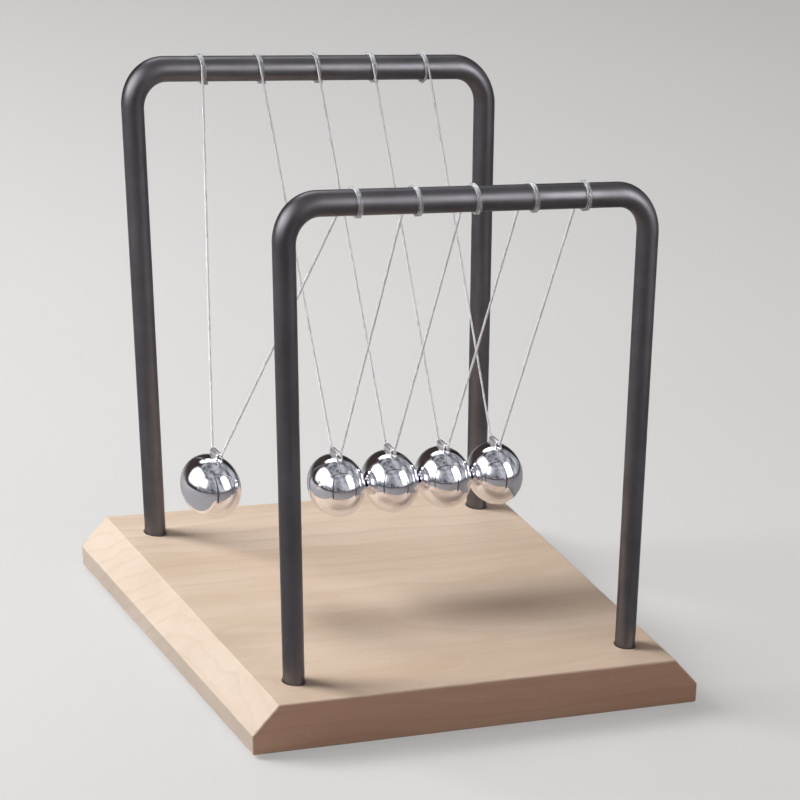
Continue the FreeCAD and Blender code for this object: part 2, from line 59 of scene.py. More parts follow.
lo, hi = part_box("front_frame")
ROD = (hi.y - lo.y) / 2
LEG_X = hi.x - ROD
BAR_Z = hi.z - ROD
FOOT_Z = lo.z
FRAME_Y = -(lo.y + hi.y) / 2
lo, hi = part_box("base_board")
BOARD_X, BOARD_Y, BOARD_LO, BOARD_TOP = hi.x, hi.y, lo.z, hi.z
lo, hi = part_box("ball_3")
BALL = (hi.x - lo.x) / 2
BALL_Z = lo.z + BALL
lo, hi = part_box("ball_3_line")
LINE = (hi.x - lo.x) / 2
HINGE = {}
for joint in frame["joints"]:
    HINGE[int(joint["name"].split("_")[1])] = Vector(joint["pos_m"])
DROP = HINGE[3].z - lo.z - LINE          # hinge to the line inside the eyelet
BALL_DROP = HINGE[3].z - BALL_Z
HINGE_Y = hi.y - LINE
lo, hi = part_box("ball_3_eyelet")
EYE, EYE_HALF = (hi.x - lo.x) / 2, hi.y
EYE_BORE = 0.6 * MM
EYE_DROP = HINGE[3].z - (lo.z + hi.z) / 2
BEND = 9.5 * MM
STRAND = math.radians(27.5)
LINE_BEND = 0.8 * MM
TURN_Y = EYE_HALF + 0.06 * MM
WIND = ROD + LINE + 0.02 * MM


def tilt(number):
    """The angle a ball is drawn aside by at rest, from where its centre is."""
    c = middle("ball_%d" % number)
    h = HINGE[number]
    return math.atan2(h.x - c.x, h.z - c.z)


TURN = {n: Matrix.Rotation(tilt(n), 3, "Y") if n == 1 else Matrix.Identity(3)
        for n in HINGE}


def hung(number, p):
    """A point given in a pendulum's own frame, origin on its hinge."""
    return HINGE[number] + TURN[number] @ Vector(p)


# ------------------------------------------------------------------- meshes
def mesh_object(name, verts, faces, material, sharp=35.0, uvs=None):
    mesh = bpy.data.meshes.new(name)
    mesh.from_pydata([tuple(v) for v in verts], [], faces)
    mesh.validate()
    mesh.update()
    if uvs:
        layer = mesh.uv_layers.new(name="along")
        for loop in mesh.loops:
            layer.data[loop.index].uv = uvs[loop.vertex_index]
    for poly in mesh.polygons:
        poly.use_smooth = True
    if sharp:
        mesh.set_sharp_from_angle(angle=math.radians(sharp))
    mesh.materials.append(material)
    ob = bpy.data.objects.new(name, mesh)
    bpy.context.scene.collection.objects.link(ob)
    return ob


def loft(rings, segs, closed=False):
    """Rings are (centre, u, v, radius).  Radius 0 makes a pole."""
    verts, faces, uvs, rows = [], [], [], []
    along, last = 0.0, None
    for centre, u, v, radius in rings:
        if last is not None:
            along += (centre - last[0]).length + abs(radius - last[1])
        last = (centre, radius)
        if radius <= 0:
            rows.append([len(verts)])
            verts.append(centre.copy())
            uvs.append((along, 0.0))
            continue
        row = []
        for k in range(segs):
            a = 2 * math.pi * k / segs
            row.append(len(verts))
            verts.append(centre + (u * math.cos(a) + v * math.sin(a)) * radius)
            uvs.append((along, abs(2 * k / segs - 1) * math.pi * radius))
        rows.append(row)
    pairs = list(zip(rows, rows[1:]))
    if closed:
        pairs.append((rows[-1], rows[0]))
    for a, b in pairs:
        for k in range(segs):
            m = (k + 1) % segs
            if len(a) == 1 and len(b) > 1:
                faces.append((a[0], b[m], b[k]))
            elif len(b) == 1 and len(a) > 1:
                faces.append((a[k], a[m], b[0]))
            elif len(a) > 1:
                faces.append((a[k], a[m], b[m], b[k]))
    return verts, faces, uvs


def carried(points, first=None):
    """Frames carried along a path without twist: [(point, tangent, u, v)]."""
    out = []
    n = len(points)
    u = None
    for k in range(n):
        t = (points[min(k + 1, n - 1)] - points[max(k - 1, 0)]).normalized()
        if u is None:
            u = (first or Vector((1, 0, 0)))
            u = (u - t * u.dot(t)).normalized()
        else:
            u = (u - t * u.dot(t)).normalized()
        out.append((points[k], t, u, t.cross(u)))
    return out


def tube(points, radius, segs=20, first=None, nose=True):
    """Rings for a round line along points, with round noses at its ends."""
    path = carried(points, first)
    rings = []
    p, t, u, v = path[0]
    if nose:
        rings.append((p - t * radius, u, v, 0.0))
        for a in (20, 40, 60, 78):
            c, s = math.cos(math.radians(a)), math.sin(math.radians(a))
            rings.append((p - t * radius * c, u, v, radius * s))
    else:
        rings.append((p.copy(), u, v, 0.0))
    for p, t, u, v in path:
        rings.append((p, u, v, radius))
    if nose:
        for a in (78, 60, 40, 20):
            c, s = math.cos(math.radians(a)), math.sin(math.radians(a))
            rings.append((p + t * radius * c, u, v, radius * s))
        rings.append((p + t * radius, u, v, 0.0))
    else:
        rings.append((p.copy(), u, v, 0.0))
    return rings


def joined(parts):
    verts, faces, uvs = [], [], []
    for v, f, t in parts:
        base = len(verts)
        verts += v
        uvs += t
        faces += [tuple(i + base for i in face) for face in f]
    return verts, faces, uvs


# ---------------------------------------------------------------- materials
class Look:
    """A node material built call by call."""

    def __init__(self, name):
        self.material = bpy.data.materials.new(name)
        self.material.use_nodes = True
        self.tree = self.material.node_tree
        self.tree.nodes.clear()

    def put(self, socket, value):
        if isinstance(value, bpy.types.NodeSocket):
            self.tree.links.new(value, socket)
        elif value is not None:
            socket.default_value = value

    def add(self, kind, props=None, **values):
        node = self.tree.nodes.new("ShaderNode" + kind)
        for key, value in (props or {}).items():
            setattr(node, key, value)
        for key, value in values.items():
            self.put(node.inputs[key.replace("_", " ")], value)
        return node

    def math(self, op, a, b=None, c=None, clamp=False):
        node = self.tree.nodes.new("ShaderNodeMath")
        node.operation = op
        node.use_clamp = clamp
        for socket, value in zip(node.inputs, (a, b, c)):
            self.put(socket, value)
        return node.outputs[0]

    def scaled(self, vector, x, y, z):
        node = self.tree.nodes.new("ShaderNodeVectorMath")
        node.operation = "MULTIPLY"
        self.put(node.inputs[0], vector)
        node.inputs[1].default_value = (x, y, z)
        return node.outputs[0]

    def shifted(self, vector, by):
        node = self.tree.nodes.new("ShaderNodeVectorMath")
        node.operation = "ADD"
        self.put(node.inputs[0], vector)
        self.put(node.inputs[1], by)
        return node.outputs[0]

    def noise(self, vector, scale=1.0, detail=2.0, rough=0.5, warp=0.0):
        node = self.tree.nodes.new("ShaderNodeTexNoise")
        self.put(node.inputs["Vector"], vector)
        node.inputs["Scale"].default_value = scale
        node.inputs["Detail"].default_value = detail
        node.inputs["Roughness"].default_value = rough
        node.inputs["Distortion"].default_value = warp
        return node.outputs[0]

    def fit(self, value, a, b, c, d):
        node = self.tree.nodes.new("ShaderNodeMapRange")
        node.clamp = True
        self.put(node.inputs[0], value)
        for k, x in enumerate((a, b, c, d), start=1):
            node.inputs[k].default_value = x
        return node.outputs[0]

    def ramp(self, value, stops, mode="LINEAR"):
        node = self.tree.nodes.new("ShaderNodeValToRGB")
        node.color_ramp.interpolation = mode
        marks = node.color_ramp.elements
        while len(marks) < len(stops):
            marks.new(0.5)
        for mark, (at, colour) in zip(marks, stops):
            mark.position = at
            mark.color = tuple(colour) + (1.0,)
        self.put(node.inputs[0], value)
        return node.outputs[0]

    def mix(self, factor, a, b, blend="MIX"):
        node = self.tree.nodes.new("ShaderNodeMix")
        node.data_type = "RGBA"
        node.blend_type = blend
        self.put(node.inputs[0], factor)
        self.put(node.inputs[6], a if isinstance(a, bpy.types.NodeSocket) else tuple(a) + (1.0,))
        self.put(node.inputs[7], b if isinstance(b, bpy.types.NodeSocket) else tuple(b) + (1.0,))
        return node.outputs[2]

    def bump(self, height, strength, distance, normal=None):
        node = self.tree.nodes.new("ShaderNodeBump")
        node.inputs["Strength"].default_value = strength
        node.inputs["Distance"].default_value = distance
        self.put(node.inputs["Height"], height)
        if normal is not None:
            self.put(node.inputs["Normal"], normal)
        return node.outputs[0]

    def place(self):
        return self.add("TexCoord").outputs["Object"]

    def along(self):
        return self.add("UVMap", {"uv_map": "along"}).outputs[0]

    def finish(self, **values):
        shader = self.add("BsdfPrincipled")
        for key, value in values.items():
            self.put(shader.inputs[key.replace("_", " ")], value)
        out = self.add("OutputMaterial")
        self.tree.links.new(shader.outputs[0], out.inputs[0])
        return self.material


def edge_mask(look, radius, gain):
    """Near 1 on edges, 0 on flats, from rounded normals."""
    bevel = look.add("Bevel", {"samples": 6}, Radius=radius)
    geometry = look.add("NewGeometry")
    dot = look.add("VectorMath", {"operation": "DOT_PRODUCT"})
    look.tree.links.new(bevel.outputs[0], dot.inputs[0])
    look.tree.links.new(geometry.outputs["Normal"], dot.inputs[1])
    away = look.math("SUBTRACT", 1.0, dot.outputs["Value"])
    return look.math("MULTIPLY", away, gain, clamp=True)


def wood():
    look = Look("pale_wood")
    p = look.place()
    # slow wander of the grain, so that no streak is straight
    wander = look.noise(look.scaled(p, 9, 26, 26), 1.0, 3.0, 0.5)
    wander2 = look.noise(look.scaled(p, 22, 90, 90), 1.0, 2.0, 0.5)
    sep = look.add("SeparateXYZ", Vector=p)
    y, z = sep.outputs[1], sep.outputs[2]
    # growth rings about a pith that runs along X, well under the board
    ry = look.math("ADD", y, 0.031)
    rz = look.math("ADD", z, 0.075)
    r = look.math("SQRT", look.math("ADD", look.math("MULTIPLY", ry, ry),
                                    look.math("MULTIPLY", rz, rz)))
    r = look.math("ADD", r, look.math("MULTIPLY", wander, 0.016))
    r = look.math("ADD", r, look.math("MULTIPLY", wander2, 0.0022))
    ring = look.math("FRACT", look.math("MULTIPLY", r, 240.0))
    late = look.ramp(ring, [(0.0, (0, 0, 0)), (0.62, (0.15,) * 3), (0.90, (1, 1, 1)),
                            (0.96, (0.85,) * 3), (1.0, (0, 0, 0))], "EASE")
    # broad brown streaks and soft cloudy figure
    broad = look.noise(look.scaled(p, 5.5, 62, 62), 1.0, 4.0, 0.55, 0.4)
    broad = look.fit(broad, 0.40, 0.72, 0.0, 1.0)
    cloud = look.noise(look.scaled(p, 14, 34, 34), 1.0, 3.0, 0.5)
    cloud = look.fit(cloud, 0.3, 0.7, 0.0, 1.0)
    fibre = look.noise(look.scaled(p, 60, 2600, 2600), 1.0, 3.0, 0.65)
    fibre = look.fit(fibre, 0.28, 0.72, 0.0, 1.0)
    strand = look.noise(look.scaled(p, 26, 620, 620), 1.0, 3.0, 0.6)
    strand = look.fit(strand, 0.3, 0.7, 0.0, 1.0)
    # short dark flecks lying with the grain
    fleck = look.add("TexVoronoi", {"feature": "F1"}, Vector=look.scaled(p, 420, 2900, 2900),
                     Scale=1.0, Randomness=1.0).outputs["Distance"]
    gate = look.noise(look.scaled(p, 90, 420, 420), 1.0, 2.0, 0.5)
    fleck = look.math("MULTIPLY", look.fit(fleck, 0.10, 0.24, 1.0, 0.0),
                      look.fit(gate, 0.50, 0.62, 0.0, 1.0))
    colour = look.ramp(cloud, [(0.0, (0.620, 0.500, 0.395)), (1.0, (0.700, 0.585, 0.480))])
    colour = look.mix(look.math("MULTIPLY", late, 0.30), colour, (0.520, 0.375, 0.265))
    colour = look.mix(look.math("MULTIPLY", broad, 0.46), colour, (0.450, 0.310, 0.215))
    colour = look.mix(look.math("MULTIPLY", strand, 0.20), colour, (0.560, 0.425, 0.310))
    colour = look.mix(look.math("MULTIPLY", fibre, 0.16), colour, (0.480, 0.345, 0.240))
    colour = look.mix(look.math("MULTIPLY", fleck, 0.55), colour, (0.300, 0.185, 0.115))
    # end grain on the faces that look along X: darker, open pores
    normal = look.add("NewGeometry").outputs["Normal"]
    nx = look.math("ABSOLUTE", look.add("SeparateXYZ", Vector=normal).outputs[0])
    end = look.fit(nx, 0.45, 0.95, 0.0, 1.0)
    pore = look.add("TexVoronoi", {"feature": "F1"}, Vector=look.scaled(p, 500, 3300, 3300),
                    Scale=1.0, Randomness=1.0).outputs["Distance"]
    pore = look.fit(pore, 0.12, 0.30, 1.0, 0.0)
    cut = look.ramp(cloud, [(0.0, (0.362, 0.330, 0.288)), (1.0, (0.412, 0.378, 0.334))])
    cut = look.mix(look.math("MULTIPLY", late, 0.17), cut, (0.280, 0.220, 0.165))
    cut = look.mix(look.math("MULTIPLY", pore, 0.62), cut, (0.240, 0.150, 0.090))
    colour = look.mix(look.math("MULTIPLY", end, 0.78), colour, cut)
    # handled edges: paler where worn, a little dirt just beside
    edge = edge_mask(look, 0.0011, 3.0)
    chip = look.noise(look.scaled(p, 260, 420, 420), 1.0, 3.0, 0.6)
    worn = look.math("MULTIPLY", edge, look.fit(chip, 0.35, 0.65, 0.1, 1.0))
    colour = look.mix(look.math("MULTIPLY", worn, 0.45), colour, (0.820, 0.720, 0.600))
    grime = look.noise(look.scaled(p, 38, 60, 60), 1.0, 4.0, 0.6)
    colour = look.mix(look.math("MULTIPLY", look.fit(grime, 0.58, 0.80, 0.0, 1.0), 0.12), colour,
                      (0.420, 0.290, 0.200))
    rough = look.math("ADD", 0.40, look.math("MULTIPLY", fibre, 0.14))
    rough = look.math("ADD", rough, look.math("MULTIPLY", worn, 0.12))
    height = look.math("SUBTRACT", look.math("MULTIPLY", fibre, 0.5),
                       look.math("ADD", look.math("MULTIPLY", fleck, 0.9),
                                 look.math("MULTIPLY", look.math("MULTIPLY", end, pore), 1.0)))
    height = look.math("ADD", height, look.math("MULTIPLY", late, 0.5))
    fine = look.bump(height, 0.55, 0.00006)
    sanding = look.noise(look.scaled(p, 16, 40, 40), 1.0, 2.0, 0.5)
    final = look.bump(sanding, 0.35, 0.00035, fine)
    return look.finish(Base_Color=colour, Roughness=rough, Normal=final,
                       Specular_IOR_Level=0.30, Coat_Weight=0.04, Coat_Roughness=0.38)


def rod_metal():
    look = Look("dark_plated_rod")
    uv = look.along()
    p = look.place()
    drawn = look.noise(look.scaled(uv, 30, 4200, 1), 1.0, 3.0, 0.6)
    cloud = look.noise(p, 120.0, 4.0, 0.6)
    speck = look.noise(p, 2600.0, 3.0, 0.6)
    tone = look.math("ADD", look.math("MULTIPLY", drawn, 0.35), look.math("MULTIPLY", cloud, 0.65))
    colour = look.ramp(tone, [(0.30, (0.118, 0.112, 0.120)), (0.70, (0.172, 0.163, 0.173))])
    colour = look.mix(look.fit(speck, 0.66, 0.74, 0.0, 0.35), colour, (0.27, 0.25, 0.25))
    smear = look.noise(look.scaled(p, 70, 70, 34), 1.0, 4.0, 0.6)
    rough = look.math("ADD", look.fit(smear, 0.35, 0.70, 0.33, 0.45),
                      look.math("MULTIPLY", drawn, 0.07))
    edge = edge_mask(look, 0.00025, 3.0)
    colour = look.mix(look.math("MULTIPLY", edge, 0.5), colour, (0.45, 0.42, 0.41))
    height = look.math("ADD", look.math("MULTIPLY", drawn, 0.7), look.math("MULTIPLY", speck, 0.5))
    normal = look.bump(height, 0.35, 0.000018)
    return look.finish(Base_Color=colour, Metallic=1.0, Roughness=rough, Normal=normal,
                       Coat_Weight=0.08, Coat_Roughness=0.26)


def chrome(name, base, dull):
    look = Look(name)
    p = look.place()
    smudge = look.noise(p, 190.0, 5.0, 0.62, 0.6)
    print_ = look.fit(smudge, 0.50, 0.72, 0.0, 1.0)
    dust = look.noise(p, 3400.0, 2.0, 0.5)
    dust = look.fit(dust, 0.70, 0.78, 0.0, 1.0)
    rough = look.math("ADD", dull, look.math("MULTIPLY", print_, 0.055))
    rough = look.math("ADD", rough, look.math("MULTIPLY", dust, 0.16))
    colour = look.mix(look.math("MULTIPLY", print_, 0.6), base, tuple(c * 0.90 for c in base))
    hair = look.add("TexVoronoi", {"feature": "DISTANCE_TO_EDGE"}, Vector=look.shifted(
        look.scaled(p, 300, 300, 300), (3.1, 1.7, 0.4)), Scale=1.0).outputs["Distance"]
    hair = look.fit(hair, 0.0, 0.012, 1.0, 0.0)
    gate = look.fit(look.noise(p, 420.0, 2.0, 0.5), 0.55, 0.62, 0.0, 1.0)
    height = look.math("ADD", look.math("MULTIPLY", look.math("MULTIPLY", hair, gate), -0.6),
                       look.math("MULTIPLY", dust, 0.5))
    normal = look.bump(height, 0.25, 0.00001)
    return look.finish(Base_Color=colour, Metallic=1.0, Roughness=rough, Normal=normal)


def nylon(name, clear):
    look = Look(name)
    uv = look.along()
    p = look.place()
    run = look.noise(look.scaled(uv, 60, 900, 1), 1.0, 3.0, 0.6)
    haze = look.noise(p, 260.0, 3.0, 0.5)
    colour = look.ramp(haze, [(0.3, (0.80, 0.83, 0.86)), (0.7, (0.89, 0.91, 0.93))])
    rough = look.fit(run, 0.3, 0.7, 0.20, 0.36)
    normal = look.bump(run, 0.15, 0.000004)
    return look.finish(Base_Color=colour, Roughness=rough, Normal=normal, IOR=1.53,
                       Transmission_Weight=clear,
                       Specular_IOR_Level=0.7)


def rubber():
    look = Look("pad_rubber")
    p = look.place()
    grain = look.noise(p, 3200.0, 4.0, 0.65)
    scuff = look.noise(look.scaled(p, 500, 900, 500), 1.0, 4.0, 0.6)
    colour = look.ramp(look.math("ADD", look.math("MULTIPLY", grain, 0.5),
                                 look.math("MULTIPLY", scuff, 0.5)),
                       [(0.35, (0.018, 0.018, 0.019)), (0.70, (0.060, 0.058, 0.056))])
    rough = look.fit(scuff, 0.3, 0.7, 0.60, 0.86)
    edge = edge_mask(look, 0.0004, 3.0)
    colour = look.mix(look.math("MULTIPLY", edge, 0.4), colour, (0.13, 0.125, 0.12))
    normal = look.bump(grain, 0.6, 0.00005)
    return look.finish(Base_Color=colour, Roughness=rough, Normal=normal, Specular_IOR_Level=0.35)


def zinc():
    look = Look("zinc_screw")
    p = look.place()
    spangle = look.add("TexVoronoi", {"feature": "F1"}, Vector=p, Scale=1900.0).outputs["Color"]
    sep = look.add("SeparateXYZ", Vector=spangle)
    cloud = look.noise(p, 900.0, 4.0, 0.6)
    tone = look.math("ADD", look.math("MULTIPLY", sep.outputs[0], 0.4),
                     look.math("MULTIPLY", cloud, 0.6))
    colour = look.ramp(tone, [(0.25, (0.40, 0.42, 0.46)), (0.75, (0.66, 0.67, 0.68))])
    rough = look.fit(cloud, 0.3, 0.7, 0.24, 0.42)
    edge = edge_mask(look, 0.0002, 3.0)
    colour = look.mix(look.math("MULTIPLY", edge, 0.5), colour, (0.80, 0.80, 0.80))
    normal = look.bump(cloud, 0.5, 0.00003)
    return look.finish(Base_Color=colour, Metallic=1.0, Roughness=rough, Normal=normal)


WOOD, RODS = wood(), rod_metal()
CHROME = chrome("mirror_chrome", (0.91, 0.905, 0.94), 0.045)
EYELET = chrome("eyelet_chrome", (0.97, 0.97, 0.98), 0.36)
NYLON, WOUND = nylon("nylon_line", 0.42), nylon("nylon_wound", 0.80)
RUBBER, ZINC = rubber(), zinc()


def wear(node, material):
    ob = NODES[node]
    ob.data.materials.clear()
    ob.data.materials.append(material)


# -------------------------------------------------------- carried-over nodes
wear("base_board", WOOD)
for tag in ("front_left", "front_right", "rear_left", "rear_right"):
    wear("foot_pad_" + tag, RUBBER)
    wear("leg_screw_" + tag, ZINC)


# -------------------------------------------------------------- bent rods
def bent_frame(node, y):
    z0 = FOOT_Z
    path = []
    for k in range(25):
        path.append(Vector((-LEG_X, y, z0 + 0.4 * MM + (BAR_Z - BEND - z0 - 0.4 * MM) * k / 24)))
    for k in range(1, 25):
        a = math.pi - math.pi / 2 * k / 24
        path.append(Vector((-LEG_X + BEND + BEND * math.cos(a), y,
                            BAR_Z - BEND + BEND * math.sin(a))))
    for k in range(1, 37):
        path.append(Vector((-LEG_X + BEND + (2 * LEG_X - 2 * BEND) * k / 36, y, BAR_Z)))
    for k in range(1, 25):
        a = math.pi / 2 - math.pi / 2 * k / 24
        path.append(Vector((LEG_X - BEND + BEND * math.cos(a), y,
                            BAR_Z - BEND + BEND * math.sin(a))))
    for k in range(1, 25):
        path.append(Vector((LEG_X, y, BAR_Z - BEND - (BAR_Z - BEND - z0 - 0.4 * MM) * k / 24)))
    body = carried(path, Vector((0, 1, 0)))

    def mouth(x, u, v):
        at = lambda z: Vector((x, y, z))
        return [(at(z0 + 8.9 * MM), u, v, 0.0), (at(z0 + 8.5 * MM), u, v, 1.5 * MM),
                (at(z0 + 0.25 * MM), u, v, 1.5 * MM), (at(z0), u, v, 1.7 * MM),
                (at(z0), u, v, ROD - 0.4 * MM)]

    rings = mouth(-LEG_X, body[0][2], body[0][3])
    rings += [(p, u, v, ROD) for p, t, u, v in body]
    rings += list(reversed(mouth(LEG_X, body[-1][2], body[-1][3])))
    verts, faces, uvs = loft(rings, 72)
    ob = mesh_object(node + "_rod", verts, faces, RODS, 35.0, uvs)
    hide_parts(node)
    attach(ob, "stand")
    return ob


bent_frame("front_frame", -FRAME_Y)
bent_frame("rear_frame", FRAME_Y)


# ------------------------------------------------------------------- balls
def ball_mesh(number):
    n = 52
    index, verts, faces = {}, [], []

    def corner(p):
        key = (round(p.x, 6), round(p.y, 6), round(p.z, 6))
        if key not in index:
            index[key] = len(verts)
            verts.append(p)
        return index[key]

    sides = [(Vector((0, 0, 1)), Vector((1, 0, 0)), Vector((0, 1, 0))),
             (Vector((0, 0, -1)), Vector((0, 1, 0)), Vector((1, 0, 0))),
             (Vector((1, 0, 0)), Vector((0, 1, 0)), Vector((0, 0, 1))),
             (Vector((-1, 0, 0)), Vector((0, 0, 1)), Vector((0, 1, 0))),
             (Vector((0, 1, 0)), Vector((0, 0, 1)), Vector((1, 0, 0))),
             (Vector((0, -1, 0)), Vector((1, 0, 0)), Vector((0, 0, 1)))]
    for w, u, v in sides:
        grid = []
        for i in range(n + 1):
            a = math.tan(math.pi / 4 * (2 * i / n - 1))
            grid.append([corner((w + u * a + v * math.tan(math.pi / 4 * (2 * j / n - 1)))
                                .normalized()) for j in range(n + 1)])
        for i in range(n):
            for j in range(n):
                faces.append((grid[i][j], grid[i + 1][j], grid[i + 1][j + 1], grid[i][j + 1]))
    out = []
    eye_z = BALL_DROP - EYE_DROP
    for p in verts:
        q = p * BALL
        # shallow saddle under the eyelet
        if q.z > 0 and abs(q.x) < EYE:
            floor = eye_z - math.sqrt((EYE + 0.01 * MM) ** 2 - q.x ** 2)
            if q.z > floor:
                q.z = floor
        out.append(hung(number, (q.x, q.y, q.z - BALL_DROP)))
    return out, faces


def eyelet_parts(number):
    """Short tube with rolled rims and a thin fillet of braze on each side."""
    ez = -EYE_DROP
    rnd = 0.22 * MM
    prof = []
    wall = (EYE - EYE_BORE) / 2
    mid = (EYE + EYE_BORE) / 2
    rnd = wall * 0.95
    for s in (1, -1):
        for k in range(9):
            a = math.pi / 2 - math.pi * k / 8 if s > 0 else -math.pi / 2 - math.pi * k / 8
            prof.append((mid + wall * math.sin(a), s * (EYE_HALF - rnd) + rnd * math.cos(a)
                         if s > 0 else s * (EYE_HALF - rnd) + rnd * math.cos(a)))
    turn = TURN[number]
    u, v = turn @ Vector((0, 0, 1)), turn @ Vector((1, 0, 0))
    rings = [(hung(number, (0, y, ez)), u, v, r) for r, y in prof]
    parts = [loft(rings, 40, closed=True)]
    eye_z = BALL_DROP - EYE_DROP
    stations = 19
    for side in (-1, 1):
        verts, faces, rows = [], [], []
        for k in range(stations):
            s = 2 * k / (stations - 1) - 1
            y = s * (EYE_HALF - 0.12 * MM)
            grow = (1 - abs(s) ** 6) ** 0.5 if abs(s) < 1 else 0.0
            grow = 0.25 + 0.75 * grow
            a = math.radians(38 - 60 * grow * 0.55)
            on_tube = Vector((EYE * math.cos(a), 0, eye_z - EYE * math.sin(a)))
            fx = 0.85 * MM + 0.62 * MM * grow
            on_ball = Vector((fx, 0, math.sqrt(BALL ** 2 - fx ** 2 - y ** 2)))
            deep = Vector((0.62 * MM, 0, math.sqrt(BALL ** 2 - y ** 2) - 0.42 * MM))
            pull = Vector((0.93 * MM, 0, math.sqrt(BALL ** 2 - 0.93e-3 ** 2 - y ** 2) + 0.02 * MM))
            row = []
            for j in range(7):
                t = j / 6
                q = on_tube * (1 - t) ** 2 + pull * 2 * t * (1 - t) + on_ball * t ** 2
                row.append(q)
            row[0] = on_tube + (Vector((0, 0, eye_z)) - on_tube) * 0.06
            row[-1] = on_ball * 0.994
            row.append(deep)
            ids = []
            for q in row:
                ids.append(len(verts))
                verts.append(hung(number, (side * q.x, y, q.z - BALL_DROP)))
            rows.append(ids)
        m = len(rows[0])
        for a, b in zip(rows, rows[1:]):
            for j in range(m):
                q = (a[j], a[(j + 1) % m], b[(j + 1) % m], b[j])
                faces.append(q if side < 0 else q[::-1])
        faces.append(tuple(rows[0]) if side > 0 else tuple(reversed(rows[0])))
        faces.append(tuple(reversed(rows[-1])) if side > 0 else tuple(rows[-1]))
        parts.append((verts, faces, [(0.0, 0.0)] * len(verts)))
    return joined(parts)


def strand_path(number):
    half = []
    tz = -DROP + LINE_BEND - LINE_BEND * math.sin(STRAND)
    ty = TURN_Y + LINE_BEND * math.cos(STRAND)
    for k in range(49):
        t = k / 48
        half.append((HINGE_Y + (ty - HINGE_Y) * t, tz * t))
    for k in range(1, 13):
        a = -STRAND - (math.pi / 2 - STRAND) * k / 12
        half.append((TURN_Y + LINE_BEND * math.cos(a), -DROP + LINE_BEND + LINE_BEND * math.sin(a)))
    for k in range(1, 5):
        half.append((TURN_Y * (1 - k / 4), -DROP))
    whole = half + [(-y, z) for y, z in reversed(half[:-1])]
    return [hung(number, (0, y, z)) for y, z in whole]


for number in range(1, 6):
    body = "pendulum_%d" % number
    verts, faces = ball_mesh(number)
    ob = mesh_object("ball_%d_polished" % number, verts, faces, CHROME, None)
    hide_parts("ball_%d" % number)
    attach(ob, body)
    verts, faces, uvs = eyelet_parts(number)
    ob = mesh_object("ball_%d_eyelet_brazed" % number, verts, faces, EYELET, 50.0, uvs)
    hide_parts("ball_%d_eyelet" % number)
    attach(ob, body)
    verts, faces, uvs = loft(tube(strand_path(number), LINE, 20), 20)
    ob = mesh_object("ball_%d_line_strand" % number, verts, faces, NYLON, None, uvs)
    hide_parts("ball_%d_line" % number)
    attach(ob, body)


# ----------------------------------------------------------- bar windings
def winding(side, number):
    sy = -1 if side == "front" else 1
    way = -1 if number == 5 else 1
    x0 = HINGE[number].x
    lead = math.degrees(STRAND) + 6.4
    last = lead + 360 * 1.75
    pitch = 0.75 * MM

    def at(deg, r, lift=0.0):
        a = math.radians(deg)
        x = x0 + way * pitch * max(0.0, deg - lead) / 360 + way * lift
        return Vector((x, sy * (FRAME_Y - r * math.cos(a)), BAR_Z + r * math.sin(a)))

    steps = 260
    start = math.degrees(STRAND)
    path = [at(start + (last - start) * k / steps, WIND) for k in range(steps + 1)]
    parts = [loft(tube(path, LINE, 18, Vector((1, 0, 0))), 18)]
    # the knot: tight loops round the line's end and a short cut tail
    centre = at(last, WIND + 0.2 * MM)
    run = (at(last + 1, WIND) - at(last - 1, WIND)).normalized()
    out = Vector((0, centre.y - sy * FRAME_Y, centre.z - BAR_Z)).normalized()
    side_way = run.cross(out)
    loops = []
    fine = 0.17 * MM
    for k in range(97):
        t = k / 96
        a = 2 * math.pi * 2.6 * t
        r = 0.335 * MM - (0.07 * MM if 0.9 < t or t < 0.1 else 0)
        loops.append(centre + run * (t - 0.5) * 0.72 * MM
                     + out * r * math.cos(a) + side_way * r * math.sin(a))
    parts.append(loft(tube(loops, fine, 12, out), 12))
    core = [centre + run * s * MM + out * 0.02 * MM for s in (-0.42, -0.2, 0.0, 0.2, 0.44)]
    parts.append(loft(tube(core, 0.24 * MM, 14, out, nose=True), 14))
    verts, faces, uvs = joined(parts)
    node = "%s_wrap_%d" % (side, number)
    ob = mesh_object(node + "_turns", verts, faces, WOUND, None, uvs)
    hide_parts(node)
    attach(ob, "stand")


for side in ("front", "rear"):
    for number in range(1, 6):
        winding(side, number)


